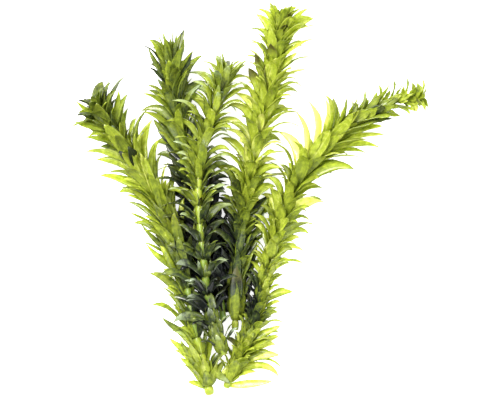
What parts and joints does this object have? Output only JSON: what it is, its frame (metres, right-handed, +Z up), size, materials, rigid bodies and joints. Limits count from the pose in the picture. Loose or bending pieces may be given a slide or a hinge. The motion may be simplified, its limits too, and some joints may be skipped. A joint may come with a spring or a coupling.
{
  "type": "brazilian waterweed",
  "caption": "Loose bunch of cut waterweed shoots with whorls of narrow curved leaves, fanning out from cut ends that lie together, resting on a flat surface.",
  "frame": {"origin": "centre of the bunch's box, on the surface it lies on", "axes": "+Y from the cut ends to the tips, +X to the right of the bunch seen from above with the tips up, +Z up from the surface"},
  "size_m": [0.176, 0.1968, 0.0318],
  "materials": {
    "stem": "waxy, yellow-green, slightly see-through",
    "leaf": "thin, satin, lets light through",
    "crown_leaf": "thin, satin, lets light through"
  },
  "bodies": {
    "root": {"crown_back": "crown_leaf", "crown_left": "crown_leaf", "crown_middle": "crown_leaf", "crown_right": "crown_leaf", "crown_tall": "crown_leaf", "stem_back": "stem", "stem_left": "stem", "stem_middle": "stem", "stem_right": "stem", "stem_tall": "stem", "whorl_back_01": "leaf", "whorl_back_02": "leaf", "whorl_back_03": "leaf", "whorl_back_04": "leaf", "whorl_back_05": "leaf", "whorl_back_06": "leaf", "whorl_back_07": "leaf", "whorl_left_01": "leaf", "whorl_left_02": "leaf", "whorl_left_03": "leaf", "whorl_left_04": "leaf", "whorl_left_05": "leaf", "whorl_left_06": "leaf", "whorl_left_07": "leaf", "whorl_left_08": "leaf", "whorl_left_09": "leaf", "whorl_left_10": "leaf", "whorl_middle_01": "leaf", "whorl_middle_02": "leaf", "whorl_middle_03": "leaf", "whorl_middle_04": "leaf", "whorl_middle_05": "leaf", "whorl_middle_06": "leaf", "whorl_middle_07": "leaf", "whorl_middle_08": "leaf", "whorl_middle_09": "leaf", "whorl_middle_10": "leaf", "whorl_middle_11": "leaf", "whorl_right_01": "leaf", "whorl_right_02": "leaf", "whorl_right_03": "leaf", "whorl_right_04": "leaf", "whorl_right_05": "leaf", "whorl_right_06": "leaf", "whorl_right_07": "leaf", "whorl_right_08": "leaf", "whorl_right_09": "leaf", "whorl_right_10": "leaf", "whorl_right_11": "leaf", "whorl_tall_01": "leaf", "whorl_tall_02": "leaf", "whorl_tall_03": "leaf", "whorl_tall_04": "leaf", "whorl_tall_05": "leaf", "whorl_tall_06": "leaf", "whorl_tall_07": "leaf"}
  },
  "joints": []
}
